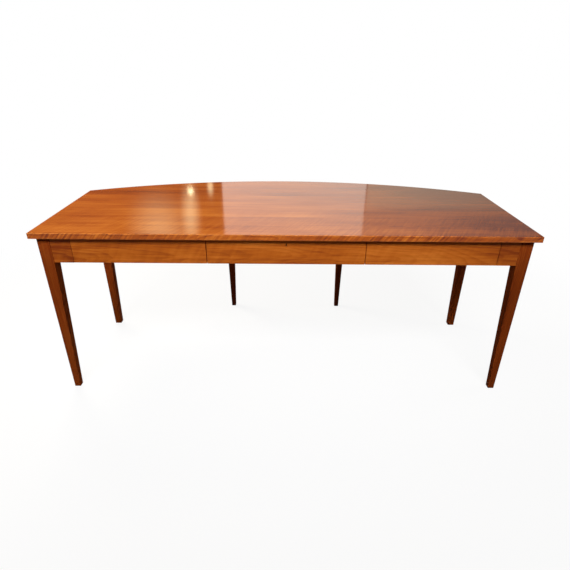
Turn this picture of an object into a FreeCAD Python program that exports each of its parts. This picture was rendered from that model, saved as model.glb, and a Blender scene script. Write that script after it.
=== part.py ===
"""Bow front desk: six tapered legs, a bent bow apron and three side-hung drawers.

Lengths are in millimetres. +Z is up and the origin lies on the floor, under the middle of the
desk's outline. The straight drawer side faces -Y, the bow faces +Y, and left is -X.
"""
import FreeCAD
import Part
import math
import os

# Overall
desk_width = 2032.0
desk_depth = 914.4
end_depth = 672.0
desk_height = 762.0

# Top
top_thickness = 24.0
top_overhang = 21.5
top_easing = 2.0

# Legs
leg_top = 50.0
front_foot = 27.0
corner_foot = 33.0
mid_foot = 24.0
leg_easing = 1.5
foot_chamfer = 2.0

# Aprons
apron_height = 108.0
apron_setback = 2.0
side_apron_thickness = 22.0
bow_apron_thickness = 24.0

# Mortise and tenon joints of the aprons
tenon_thickness = 10.0
tenon_shoulder = 14.0
tenon_haunch = 18.0
tenon_wall = 2.0
tenon_length_share = 0.55
mid_tenon_web = 8.0
housing_depth = 6.0

# Drawer side of the frame
end_block_width = 79.5
centre_bay_width = 646.0
rail_width = 60.0
rail_thickness = 20.0
rail_dovetail_thickness = 12.0
rail_dovetail_margin = 3.0
rail_dovetail_flare = 2.5
partition_thickness = 20.0
partition_lift = 12.0
partition_tenon_length = 18.0
glue_block_size = 20.0

# Drawer fronts
front_thickness = 22.0
front_gap = 2.2
end_gap = 0.3
front_top_gap = 2.0
front_easing = 1.0
stop_gap = 0.3
finger_bevel_height = 10.0
finger_bevel_depth = 9.0

# Drawer boxes
drawer_back_room = 80.0
drawer_lift = 12.0
drawer_head_room = 3.0
side_thickness = 12.0
side_play = 1.5
back_thickness = 12.0
back_drop = 4.0
bottom_thickness = 6.0
bottom_lift = 10.0
bottom_groove = 5.0
front_dovetail_depth = 9.0
dovetail_slope_share = 0.15
tail_count = 3
tail_share = 0.86

# Runners
runner_height = 10.0
runner_groove_depth = 6.0
runner_clearance = 0.3

# Buttons that hold the top
button_length = 38.0
button_width = 32.0
button_thickness = 22.0
button_tongue_length = 10.0
button_tongue_thickness = 8.0
button_tongue_drop = 9.0
button_apron_gap = 0.5
button_slot_play = 1.0
button_screw_share = 0.55
side_button_shares = (0.22, 0.78)
bow_end_button_share = 0.5
bow_centre_button_share = 0.5

# Wood screws, drawn with few faces
screw_sides = 8
screw_tip_share = 0.3
screw_head_diameter = 8.0
screw_head_height = 3.5
screw_shank_diameter = 4.0
screw_tip_length = 4.0
top_screw_bite = 12.0
small_head_diameter = 5.0
small_head_height = 2.0
small_shank_diameter = 2.4
small_tip_length = 2.5
runner_screw_bite_share = 0.42
side_runner_screw_shares = (0.06, 0.62)
centre_runner_screw_shares = (0.38, 0.94)
rail_screw_shares = (0.09, 0.36, 0.64, 0.91)
bottom_screw_shares = (0.25, 0.75)
bottom_screw_bite = 14.0

# Lock of the centre drawer
lock_plate_width = 58.0
lock_plate_height = 46.0
lock_plate_thickness = 2.0
lock_case_width = 44.0
lock_case_height = 38.0
lock_case_depth = 10.0
lock_wall = 1.5
lock_cap_thickness = 1.2
lock_screw_length = 12.0
lock_screw_shares = (0.3, 0.82)
bolt_width = 24.0
bolt_thickness = 5.0
bolt_body_height = 18.0
bolt_throw = 8.0
bolt_clearance = 0.3
key_drop = 21.0
key_sweep = 5.0
key_pin_diameter = 2.6
keyhole_diameter = 7.0
keyhole_slot_width = 4.6
keyhole_height = 12.5
strike_width = 48.0
strike_depth = 14.0
strike_thickness = 1.5
strike_clearance = 1.2
strike_screw_length = 11.0
strike_screw_share = 0.38

# Overrun of every cut that passes right through
overrun = 5.0

# Levels
top_under = desk_height - top_thickness
apron_bottom = top_under - apron_height
tenon_low = apron_bottom + tenon_shoulder
tenon_high = top_under - tenon_haunch
rail_under = top_under - rail_thickness
partition_bottom = apron_bottom + partition_lift
front_top = top_under - front_top_gap
side_low = apron_bottom + drawer_lift
side_high = rail_under - drawer_head_room
bottom_low = side_low + bottom_lift
back_low = bottom_low + bottom_thickness
back_high = side_high - back_drop
runner_level = (back_low + back_high) / 2

# Stations across the width
leg_outer_x = desk_width / 2 - top_overhang
leg_inner_x = leg_outer_x - leg_top
outer_seam = leg_inner_x - end_block_width
inner_seam = centre_bay_width / 2
side_apron_x = leg_outer_x - apron_setback - side_apron_thickness / 2

# Stations from the drawer side to the bow
near_edge = -desk_depth / 2
far_edge = desk_depth / 2
end_far = near_edge + end_depth
leg_front = near_edge + top_overhang
leg_front_back = leg_front + leg_top
far_leg_face = end_far - top_overhang
far_leg_near = far_leg_face - leg_top
face_y = leg_front + apron_setback
front_back = face_y + front_thickness
stop_y = front_back + stop_gap
rail_back = stop_y + rail_width

# The bow apron's outer face is an arc that springs from the corner legs
apron_spring = far_leg_face - apron_setback
apron_crown = far_edge - top_overhang - apron_setback
apron_rise = apron_crown - apron_spring
apron_radius = (leg_inner_x ** 2 + apron_rise ** 2) / (2 * apron_rise)
apron_centre = apron_crown - apron_radius


def apron_y(x, inset):
    """Return how far back the bow apron lies at x, measured inset from its outer face."""
    return apron_centre + math.sqrt((apron_radius - inset) ** 2 - x ** 2)


mid_leg_face = apron_y(inner_seam - leg_top / 2, 0) + apron_setback
mid_leg_near = mid_leg_face - leg_top
drawer_back = apron_y(outer_seam, bow_apron_thickness) - drawer_back_room
back_inner = drawer_back - back_thickness

# Reach of the tenons that pass beside the side aprons' tenons in a leg
leg_reach = leg_top - apron_setback - side_apron_thickness / 2 - tenon_thickness / 2 - tenon_wall
side_tenon_length = leg_top * tenon_length_share
mid_tenon_length = (leg_top - mid_tenon_web) / 2
runner_projection = side_play + runner_groove_depth - runner_clearance

parts = {}


# Shape helpers


def vector(x, y, z):
    """Return a FreeCAD vector."""
    return FreeCAD.Vector(x, y, z)


def block(x0, x1, y0, y1, z0, z1):
    """Return a box between two corners."""
    return Part.makeBox(x1 - x0, y1 - y0, z1 - z0, vector(x0, y0, z0))


def prism(points, travel):
    """Return the solid that a closed outline of points sweeps along the travel vector."""
    wire = Part.makePolygon(points + points[:1])
    return Part.Face(wire).extrude(travel)


def mirrored(shape):
    """Return the shape's twin on the other side of the desk's middle plane."""
    return shape.mirror(vector(0, 0, 0), vector(1, 0, 0))


def turned(shape, angle, place):
    """Return the shape turned about its own vertical axis and moved to a place."""
    copy = shape.copy()
    copy.rotate(vector(0, 0, 0), vector(0, 0, 1), angle)
    copy.translate(place)
    return copy


def cut_by(shape, cutters):
    """Return the shape with every cutter taken out of it."""
    for cutter in cutters:
        shape = shape.cut(cutter)
    return shape


def faceted_solid(rings):
    """Return the solid with flat faces between level rings that have their points in step."""
    loops = [rings[0], rings[-1]]
    for low, high in zip(rings, rings[1:]):
        for index in range(len(low)):
            loops.append([low[index - 1], low[index], high[index], high[index - 1]])
    faces = [Part.Face(Part.makePolygon(loop + loop[:1])) for loop in loops]
    solid = Part.makeSolid(Part.makeShell(faces))
    return solid


def eased_square(x0, y0, size, easing, z):
    """Return the points of a level square whose four corners are cut off by the easing."""
    x1 = x0 + size
    y1 = y0 + size
    return [
        vector(x0 + easing, y0, z),
        vector(x1 - easing, y0, z),
        vector(x1, y0 + easing, z),
        vector(x1, y1 - easing, z),
        vector(x1 - easing, y1, z),
        vector(x0 + easing, y1, z),
        vector(x0, y1 - easing, z),
        vector(x0, y0 + easing, z),
    ]


def facet_ring(diameter, z):
    """Return the points of a level regular polygon about the Z axis."""
    ring = []
    for index in range(screw_sides):
        angle = 2 * math.pi * index / screw_sides
        ring.append(vector(diameter / 2 * math.cos(angle), diameter / 2 * math.sin(angle), z))
    return ring


def wood_screw(head, head_height, shank, tip, length):
    """Return a countersunk screw whose head is flush with z = 0 and whose tip points up."""
    rings = [
        facet_ring(head, 0),
        facet_ring(shank, head_height),
        facet_ring(shank, length - tip),
        facet_ring(shank * screw_tip_share, length),
    ]
    return faceted_solid(rings)


def large_screw(length):
    """Return one of the screws that go up into the top."""
    return wood_screw(screw_head_diameter, screw_head_height, screw_shank_diameter, screw_tip_length, length)


def small_screw(length):
    """Return one of the small screws of the runners, the drawer bottoms and the lock."""
    return wood_screw(small_head_diameter, small_head_height, small_shank_diameter, small_tip_length, length)


def placed_screw(screw, place, axis):
    """Return a screw with its head's face at a place and its tip along an axis."""
    copy = screw.copy()
    copy.Placement = FreeCAD.Placement(place, FreeCAD.Rotation(vector(0, 0, 1), axis))
    return copy


# Top


def make_top():
    """Return the top: straight near edge and ends, and a bowed far edge, all arrises eased."""
    half = desk_width / 2
    edges = [
        Part.LineSegment(vector(-half, near_edge, top_under), vector(half, near_edge, top_under)),
        Part.LineSegment(vector(half, near_edge, top_under), vector(half, end_far, top_under)),
        Part.Arc(
            vector(half, end_far, top_under),
            vector(0, far_edge, top_under),
            vector(-half, end_far, top_under),
        ),
        Part.LineSegment(vector(-half, end_far, top_under), vector(-half, near_edge, top_under)),
    ]
    wire = Part.Wire([edge.toShape() for edge in edges])
    slab = Part.Face(wire).extrude(vector(0, 0, top_thickness))
    return slab.makeFillet(top_easing, slab.Edges)


# Legs


def make_leg(anchor_x, anchor_y, share_x, share_y, foot):
    """Return a leg that tapers to its foot and whose upright faces pass through the anchor.

    The shares say where the anchor lies in the leg's square section: 0 at its low side, 1 at its
    high side, 0.5 in the middle, so the faces on the other sides taper.
    """
    stations = [
        (foot, foot_chamfer, 0),
        (foot, 0, foot_chamfer),
        (leg_top, 0, apron_bottom),
        (leg_top, 0, top_under),
    ]
    sections = []
    for size, inset, level in stations:
        x0 = anchor_x - size * share_x + inset
        y0 = anchor_y - size * share_y + inset
        sections.append(eased_square(x0, y0, size - 2 * inset, leg_easing, level))
    return faceted_solid(sections)


# Aprons


def make_side_apron():
    """Return the right end apron with a tenon at each end."""
    half = side_apron_thickness / 2
    x0 = side_apron_x - half
    x1 = side_apron_x + half
    board = block(x0, x1, leg_front_back, far_leg_near, apron_bottom, top_under)
    tenon = block(
        side_apron_x - tenon_thickness / 2,
        side_apron_x + tenon_thickness / 2,
        leg_front_back - side_tenon_length,
        far_leg_near + side_tenon_length,
        tenon_low,
        tenon_high,
    )
    return board.fuse(tenon).removeSplitter()


def bow_arc(x0, x1, inset):
    """Return the level arc of the bow apron from x0 to x1, inset from its outer face."""
    middle = (x0 + x1) / 2
    points = [vector(x, apron_y(x, inset), apron_bottom) for x in (x0, middle, x1)]
    return Part.Arc(*points).toShape()


def bow_tenon(x0, x1, shoulder_x):
    """Return a tenon from x0 to x1, in the middle of the bow apron at its shoulder."""
    middle = apron_y(shoulder_x, bow_apron_thickness / 2)
    half = tenon_thickness / 2
    return block(x0, x1, middle - half, middle + half, tenon_low, tenon_high)


def make_bow_apron(x0, x1, reach_low, reach_high):
    """Return a bent apron piece between two legs with a tenon at each end."""
    outer = bow_arc(x0, x1, 0)
    inner = bow_arc(x0, x1, bow_apron_thickness)
    ends = [
        Part.LineSegment(outer.Vertexes[side].Point, inner.Vertexes[side].Point).toShape()
        for side in (0, 1)
    ]
    wire = Part.Wire(Part.__sortEdges__([outer, inner] + ends))
    strip = Part.Face(wire).extrude(vector(0, 0, apron_height))
    tenons = [bow_tenon(x0 - reach_low, x0, x0), bow_tenon(x1, x1 + reach_high, x1)]
    return strip.multiFuse(tenons).removeSplitter()


# Frame behind the drawer fronts


def make_end_block():
    """Return the right fixed front piece, tenoned into the corner leg."""
    back = stop_y
    low_x = outer_seam + end_gap
    board = block(low_x, leg_inner_x, face_y, back, apron_bottom, top_under)
    middle = (face_y + back) / 2
    half = tenon_thickness / 2
    tenon = block(leg_inner_x, leg_inner_x + leg_reach, middle - half, middle + half, tenon_low, tenon_high)
    return board.fuse(tenon).removeSplitter()


def make_rail():
    """Return the rail behind the fronts, with a lapped dovetail at each end."""
    rail = block(-leg_inner_x, leg_inner_x, stop_y, rail_back, rail_under, top_under)
    neck_near = stop_y + rail_dovetail_margin + rail_dovetail_flare
    neck_far = leg_front_back - rail_dovetail_margin - rail_dovetail_flare
    tip_x = leg_inner_x + leg_reach
    level = top_under - rail_dovetail_thickness
    outline = [
        vector(leg_inner_x, neck_near, level),
        vector(tip_x, neck_near - rail_dovetail_flare, level),
        vector(tip_x, neck_far + rail_dovetail_flare, level),
        vector(leg_inner_x, neck_far, level),
    ]
    tail = prism(outline, vector(0, 0, rail_dovetail_thickness))
    return rail.multiFuse([tail, mirrored(tail)]).removeSplitter()


def partition_board(seam, far_end):
    """Return a fore-and-aft board, notched under the rail, that runs back to far_end."""
    x0 = seam - partition_thickness / 2
    outline = [
        vector(x0, stop_y, partition_bottom),
        vector(x0, far_end, partition_bottom),
        vector(x0, far_end, top_under),
        vector(x0, rail_back, top_under),
        vector(x0, rail_back, rail_under),
        vector(x0, stop_y, rail_under),
    ]
    return prism(outline, vector(partition_thickness, 0, 0))


def make_inner_partition():
    """Return the right inner partition, tenoned into the middle leg."""
    board = partition_board(inner_seam, mid_leg_near)
    half = tenon_thickness / 2
    tenon = block(
        inner_seam - half,
        inner_seam + half,
        mid_leg_near,
        mid_leg_near + partition_tenon_length,
        tenon_low,
        tenon_high,
    )
    return board.fuse(tenon).removeSplitter()


def make_outer_partition():
    """Return the right outer partition, its end cut to the bow and housed in the bow apron."""
    board = partition_board(outer_seam, far_edge)
    radius = apron_radius - bow_apron_thickness + housing_depth
    sweep = Part.makeCylinder(radius, desk_height, vector(0, apron_centre, 0))
    return board.common(sweep)


def make_glue_block():
    """Return the block in the corner of the right end block and the outer partition."""
    x0 = outer_seam + partition_thickness / 2
    return block(x0, x0 + glue_block_size, stop_y, stop_y + glue_block_size, partition_bottom, rail_under)


# Drawers


def make_tails(x0, x1):
    """Return the dovetail tails of one drawer side, flaring towards the drawer's back."""
    pitch = (back_high - back_low) / tail_count
    wide = pitch * tail_share / 2
    narrow = wide - back_thickness * dovetail_slope_share
    tails = []
    for index in range(tail_count):
        level = back_low + pitch * (index + 0.5)
        outline = [
            vector(x0, back_inner, level - narrow),
            vector(x0, drawer_back, level - wide),
            vector(x0, drawer_back, level + wide),
            vector(x0, back_inner, level + narrow),
        ]
        tails.append(prism(outline, vector(x1 - x0, 0, 0)))
    return tails


def make_side_blank(x0, x1):
    """Return a drawer side with the sliding dovetail that enters the front."""
    board = block(x0, x1, front_back, drawer_back, side_low, side_high)
    waist = front_dovetail_depth * dovetail_slope_share
    outline = [
        vector(x0 + waist, front_back, side_low),
        vector(x0, front_back - front_dovetail_depth, side_low),
        vector(x1, front_back - front_dovetail_depth, side_low),
        vector(x1 - waist, front_back, side_low),
    ]
    tongue = prism(outline, vector(0, 0, side_high - side_low))
    return board.fuse(tongue).removeSplitter()


def make_front_blank(x0, x1):
    """Return a drawer front with eased face edges and a finger bevel along its lower back edge."""
    board = block(x0, x1, face_y, front_back, apron_bottom, front_top)
    middle = (face_y + front_back) / 2
    rim = [edge for edge in board.Edges if edge.BoundBox.YMax < middle]
    board = board.makeChamfer(front_easing, rim)
    bevel = [
        vector(x0, front_back, apron_bottom),
        vector(x0, front_back, apron_bottom + finger_bevel_height),
        vector(x0, front_back - finger_bevel_depth, apron_bottom),
    ]
    return board.cut(prism(bevel, vector(x1 - x0, 0, 0)))


def make_bottom_screws(x0, x1):
    """Return the screws that go up through the drawer bottom into the back."""
    screw = small_screw(bottom_thickness + bottom_screw_bite)
    middle = (back_inner + drawer_back) / 2
    screws = []
    for share in bottom_screw_shares:
        place = vector(x0 + (x1 - x0) * share, middle, bottom_low)
        screws.append(placed_screw(screw, place, vector(0, 0, 1)))
    return screws


def make_drawer(name, low_seam, high_seam):
    """Build one drawer between two seams and keep its pieces under the drawer's name."""
    front = make_front_blank(low_seam + front_gap / 2, high_seam - front_gap / 2)
    x0 = low_seam + partition_thickness / 2 + side_play
    x1 = high_seam - partition_thickness / 2 - side_play
    inner0 = x0 + side_thickness
    inner1 = x1 - side_thickness
    bottom = block(
        inner0 - bottom_groove,
        inner1 + bottom_groove,
        front_back - bottom_groove,
        drawer_back,
        bottom_low,
        back_low,
    )
    back = block(x0, x1, back_inner, drawer_back, back_low, back_high)
    back = cut_by(back, make_tails(x0, inner0) + make_tails(inner1, x1))
    reach = runner_height / 2 + runner_clearance
    sides = []
    for low, high, groove in (
        (x0, inner0, (x0, x0 + runner_groove_depth)),
        (inner1, x1, (x1 - runner_groove_depth, x1)),
    ):
        channel = block(*groove, front_back, drawer_back, runner_level - reach, runner_level + reach)
        sides.append(cut_by(make_side_blank(low, high), [back, bottom, channel]))
    screws = make_bottom_screws(x0, x1)
    parts[name + "_front"] = cut_by(front, sides + [bottom])
    parts[name + "_left_side"], parts[name + "_right_side"] = sides
    parts[name + "_back"] = cut_by(back, screws)
    parts[name + "_bottom"] = cut_by(bottom, screws)
    parts[name + "_screws"] = Part.makeCompound(screws)


def make_runners(name, low_seam, high_seam, screw_shares):
    """Build the runner pair of one drawer and return its screws."""
    screws = []
    half = runner_height / 2
    for side, wall, inward in (
        ("left", low_seam + partition_thickness / 2, 1),
        ("right", high_seam - partition_thickness / 2, -1),
    ):
        tip = wall + inward * runner_projection
        x0, x1 = sorted((wall, tip))
        strip = block(x0, x1, stop_y, drawer_back, runner_level - half, runner_level + half)
        screw = small_screw(runner_projection + partition_thickness * runner_screw_bite_share)
        own = []
        for share in screw_shares:
            place = vector(tip, stop_y + (drawer_back - stop_y) * share, runner_level)
            own.append(placed_screw(screw, place, vector(-inward, 0, 0)))
        parts[name + "_" + side + "_runner"] = cut_by(strip, own)
        screws += own
    return screws


# Lock of the centre drawer

plate_back = front_back
case_back = plate_back - lock_plate_thickness
case_front = case_back - lock_case_depth
case_high = front_top - lock_plate_thickness
case_low = case_high - lock_case_height
bolt_y = (case_front + lock_cap_thickness + case_back) / 2
key_level = front_top - key_drop
cavity_half = lock_case_width / 2 - lock_wall
cavity_low = case_low + lock_wall


def bolt_slot(play, z0, z1):
    """Return the slot that the bolt's head slides through, with play all round."""
    half_x = bolt_width / 2 + play
    half_y = bolt_thickness / 2 + play
    return block(-half_x, half_x, bolt_y - half_y, bolt_y + half_y, z0, z1)


def keyhole(y0, y1):
    """Return the keyhole's prism: a round top over a narrow slot."""
    radius = keyhole_diameter / 2
    barrel = Part.makeCylinder(radius, y1 - y0, vector(0, y0, key_level), vector(0, 1, 0))
    half = keyhole_slot_width / 2
    low = key_level + radius - keyhole_height
    return barrel.fuse(block(-half, half, y0, y1, low, key_level))


def make_lock_case():
    """Return the lock's tray, back plate and selvedge as one folded and brazed piece."""
    half = lock_plate_width / 2
    plate = block(-half, half, case_back, plate_back, front_top - lock_plate_height, front_top)
    selvedge = block(-half, half, case_front, plate_back, case_high, front_top)
    case_half = lock_case_width / 2
    tray = block(-case_half, case_half, case_front, case_back, case_low, case_high)
    cavity = block(-cavity_half, cavity_half, case_front, case_back, cavity_low, case_high)
    shell = plate.multiFuse([selvedge, tray.cut(cavity)]).removeSplitter()
    return shell.cut(bolt_slot(bolt_clearance, case_high, front_top))


def make_lock_cap():
    """Return the cap that closes the tray, with its keyhole."""
    back = case_front + lock_cap_thickness
    plate = block(-cavity_half, cavity_half, case_front, back, cavity_low, case_high)
    return plate.cut(keyhole(case_front, back))


def make_lock_pin():
    """Return the pin that a hollow key turns on, riveted into the back plate."""
    length = case_back - case_front - lock_cap_thickness
    start = vector(0, case_front + lock_cap_thickness, key_level)
    return Part.makeCylinder(key_pin_diameter / 2, length, start, vector(0, 1, 0))


def make_lock_bolt():
    """Return the bolt, drawn back: a head, a wide body and the window that the key works in."""
    y0 = bolt_y - bolt_thickness / 2
    y1 = bolt_y + bolt_thickness / 2
    body_half = cavity_half - bolt_clearance
    body_low = cavity_low + bolt_clearance
    body = block(-body_half, body_half, y0, y1, body_low, body_low + bolt_body_height)
    head = block(-bolt_width / 2, bolt_width / 2, y0, y1, body_low, front_top - bolt_clearance)
    room = key_pin_diameter / 2 + bolt_clearance
    window = block(-key_sweep, key_sweep, y0, y1, key_level - bolt_throw - room, key_level + room)
    return body.fuse(head).removeSplitter().cut(window)


def make_lock_screws():
    """Return the screws through the back plate, beside the case."""
    screw = small_screw(lock_screw_length)
    x = (lock_plate_width + lock_case_width) / 4
    screws = []
    for side in (-1, 1):
        for share in lock_screw_shares:
            place = vector(side * x, plate_back, front_top - lock_plate_height * share)
            screws.append(placed_screw(screw, place, vector(0, -1, 0)))
    return screws


def make_strike():
    """Return the strike plate, let in flush with the underside of the top."""
    half_x = strike_width / 2
    half_y = strike_depth / 2
    plate = block(-half_x, half_x, bolt_y - half_y, bolt_y + half_y, top_under, top_under + strike_thickness)
    return plate.cut(bolt_slot(strike_clearance, top_under, top_under + strike_thickness))


def make_strike_screws():
    """Return the two screws of the strike plate."""
    screw = small_screw(strike_screw_length)
    reach = strike_width * strike_screw_share
    places = [vector(side * reach, bolt_y, top_under) for side in (-1, 1)]
    return [placed_screw(screw, place, vector(0, 0, 1)) for place in places]


# What holds the top down


def make_button():
    """Return a button and its apron slot; the tongue points +Y at an apron face on y = 0."""
    half = button_width / 2
    face = -button_apron_gap
    body = block(-half, half, face - button_length, face, top_under - button_thickness, top_under)
    tongue_high = top_under - button_tongue_drop
    tongue_low = tongue_high - button_tongue_thickness
    tongue = block(-half, half, face, face + button_tongue_length, tongue_low, tongue_high)
    slot_half = half + button_slot_play
    slot_end = face + button_tongue_length + button_slot_play
    slot = block(-slot_half, slot_half, -overrun, slot_end, tongue_low - button_slot_play, tongue_high)
    return body.fuse(tongue).removeSplitter(), slot


def button_places():
    """Return the right half's buttons as apron name, turn in degrees and place on the apron."""
    inner_face = side_apron_x - side_apron_thickness / 2
    length = far_leg_near - leg_front_back
    places = []
    for share in side_button_shares:
        places.append(("side_apron", -90, vector(inner_face, leg_front_back + length * share, 0)))
    bow_low = inner_seam + leg_top / 2
    bow_x = bow_low + (leg_inner_x - bow_low) * bow_end_button_share
    centre_x = (inner_seam - leg_top / 2) * bow_centre_button_share
    for apron, x in (("bow_apron", bow_x), ("bow_apron_centre", centre_x)):
        inner_radius = apron_radius - bow_apron_thickness
        turn = -math.degrees(math.asin(x / inner_radius))
        places.append((apron, turn, vector(x, apron_y(x, bow_apron_thickness), 0)))
    return places


def make_rail_screws():
    """Return the screws that go up through the rail into the top."""
    screw = large_screw(rail_thickness + top_screw_bite)
    y = (leg_front_back + rail_back) / 2
    screws = []
    for share in rail_screw_shares:
        x = -leg_inner_x + 2 * leg_inner_x * share
        screws.append(placed_screw(screw, vector(x, y, rail_under), vector(0, 0, 1)))
    return screws


# Assembly

top = make_top()

right = {
    "side_apron": make_side_apron(),
    "bow_apron": make_bow_apron(inner_seam + leg_top / 2, leg_inner_x, mid_tenon_length, leg_reach),
    "front_end_block": make_end_block(),
    "inner_partition": make_inner_partition(),
    "outer_partition": make_outer_partition(),
}
left = {name: mirrored(shape) for name, shape in right.items()}
centre_half = inner_seam - leg_top / 2
bow_centre = make_bow_apron(-centre_half, centre_half, mid_tenon_length, mid_tenon_length)
rail = make_rail()

# The outer partitions are housed in the bow aprons
for pieces in (right, left):
    pieces["bow_apron"] = pieces["bow_apron"].cut(pieces["outer_partition"])

# Buttons in their slots, with screws up into the top
button, button_slot = make_button()
button_screw = large_screw(button_thickness + top_screw_bite)
screw_seat = vector(0, -button_apron_gap - button_length * button_screw_share, top_under - button_thickness)
up = vector(0, 0, 1)
button_hole = placed_screw(button_screw, screw_seat, up)
buttons = []
button_screws = []
for apron, turn, place in button_places():
    one_button = turned(button.cut(button_hole), turn, place)
    one_slot = turned(button_slot, turn, place)
    one_screw = turned(button_hole, turn, place)
    buttons += [one_button, mirrored(one_button)]
    button_screws += [one_screw, mirrored(one_screw)]
    if apron in right:
        right[apron] = right[apron].cut(one_slot)
        left[apron] = left[apron].cut(mirrored(one_slot))
    else:
        bow_centre = cut_by(bow_centre, [one_slot, mirrored(one_slot)])

# Legs, mortised by what is tenoned into them
legs = {
    "front_leg": make_leg(leg_outer_x, leg_front, 1, 0, front_foot),
    "bow_corner_leg": make_leg(leg_outer_x, far_leg_face, 1, 1, corner_foot),
    "bow_mid_leg": make_leg(inner_seam, mid_leg_face, 0.5, 1, mid_foot),
}
for name, leg in legs.items():
    mates = [right["side_apron"], right["bow_apron"], right["front_end_block"], right["inner_partition"]]
    right[name] = cut_by(leg, mates + [rail, bow_centre])
    left[name] = mirrored(right[name])

rail_screws = make_rail_screws()
parts["front_top_rail"] = cut_by(rail, rail_screws)
parts["bow_apron_centre"] = bow_centre
parts["top_buttons"] = Part.makeCompound(buttons)
parts["top_button_screws"] = Part.makeCompound(button_screws)
parts["rail_screws"] = Part.makeCompound(rail_screws)
glue_block = make_glue_block()
parts["end_glue_blocks"] = Part.makeCompound([glue_block, mirrored(glue_block)])

# Drawers and their runners
bays = [
    ("left_drawer", -outer_seam, -inner_seam, side_runner_screw_shares),
    ("centre_drawer", -inner_seam, inner_seam, centre_runner_screw_shares),
    ("right_drawer", inner_seam, outer_seam, side_runner_screw_shares),
]
runner_screws = []
for name, low_seam, high_seam, screw_shares in bays:
    make_drawer(name, low_seam, high_seam)
    runner_screws += make_runners(name, low_seam, high_seam, screw_shares)
parts["runner_screws"] = Part.makeCompound(runner_screws)
for pieces in (right, left):
    for name in ("inner_partition", "outer_partition"):
        pieces[name] = cut_by(pieces[name], runner_screws)

# Lock, let into the centre front, and the strike in the top
lock_screws = make_lock_screws()
case_block = block(-lock_case_width / 2, lock_case_width / 2, case_front, case_back, case_low, case_high)
lock_case = make_lock_case()
parts["lock_case"] = cut_by(lock_case, lock_screws)
parts["lock_cap"] = make_lock_cap()
parts["lock_pin"] = make_lock_pin()
parts["lock_bolt"] = make_lock_bolt()
parts["lock_screws"] = Part.makeCompound(lock_screws)
lock_cuts = [lock_case, case_block, keyhole(face_y - overrun, case_front)] + lock_screws
lock_cuts.append(bolt_slot(bolt_clearance, case_high, front_top))
parts["centre_drawer_front"] = cut_by(parts["centre_drawer_front"], lock_cuts)

strike = make_strike()
strike_screws = make_strike_screws()
bolt_reach = front_top - bolt_clearance + bolt_throw + strike_clearance
parts["strike_plate"] = cut_by(strike, strike_screws)
parts["strike_screws"] = Part.makeCompound(strike_screws)
strike_cuts = [strike, bolt_slot(strike_clearance, top_under, bolt_reach)] + strike_screws
parts["desk_top"] = cut_by(top, strike_cuts + button_screws + rail_screws)

for side, pieces in (("right", right), ("left", left)):
    for name, shape in pieces.items():
        parts[name + "_" + side] = shape

os.makedirs("parts", exist_ok=True)
for name, shape in parts.items():
    shape.exportStep("parts/" + name + ".step")
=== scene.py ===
"""Looks of the bow front desk: cherry boards, pale drawer boxes, a brass lock, and the studio round it.

Lengths are in metres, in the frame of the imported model: +Z is up, the drawers face -Y, left is -X.
"""
import logging
import math
import random
from dataclasses import dataclass, field, replace
from enum import Enum
from typing import Any, Union

import bmesh
import bpy
from mathutils import Matrix, Vector


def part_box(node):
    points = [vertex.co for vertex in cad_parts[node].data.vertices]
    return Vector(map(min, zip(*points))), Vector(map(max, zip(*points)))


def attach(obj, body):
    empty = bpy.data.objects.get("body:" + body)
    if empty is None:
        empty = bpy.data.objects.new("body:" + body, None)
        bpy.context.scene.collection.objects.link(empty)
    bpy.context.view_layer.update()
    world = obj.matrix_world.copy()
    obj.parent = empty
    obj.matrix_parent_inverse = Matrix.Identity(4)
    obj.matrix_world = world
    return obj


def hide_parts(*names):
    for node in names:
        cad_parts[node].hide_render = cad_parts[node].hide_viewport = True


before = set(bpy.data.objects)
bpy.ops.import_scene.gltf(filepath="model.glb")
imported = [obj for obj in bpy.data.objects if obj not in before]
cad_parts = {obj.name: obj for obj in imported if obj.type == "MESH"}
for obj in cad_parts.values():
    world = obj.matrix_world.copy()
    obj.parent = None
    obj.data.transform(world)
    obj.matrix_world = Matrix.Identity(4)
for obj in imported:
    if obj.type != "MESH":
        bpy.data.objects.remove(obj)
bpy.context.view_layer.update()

log = logging.getLogger("desk")
Colour = tuple[float, float, float]
Triple = tuple[float, float, float]
WHITE: Colour = (1.0, 1.0, 1.0)
BLACK: Colour = (0.0, 0.0, 0.0)
MEAN = 0.5  # the middle of a noise, and of the tones of a wood
QUARTER = math.pi / 2


class Axis(Enum):
    """A direction of the frame, by its place in a vector."""

    X = 0
    Y = 1
    Z = 2


def paint(red: int, green: int, blue: int) -> Colour:
    """Return the linear colour of screen values from 0 to 255."""

    def linear(value: int) -> float:
        """Return one channel without its screen curve."""
        share = value / 255
        return share / 12.92 if share <= 0.04045 else ((share + 0.055) / 1.055) ** 2.4

    return linear(red), linear(green), linear(blue)


def solid(colour: Colour) -> tuple[float, float, float, float]:
    """Return the colour with full cover."""
    return (*colour, 1.0)


def grey(level: float) -> Colour:
    """Return a neutral colour."""
    return level, level, level


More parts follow.
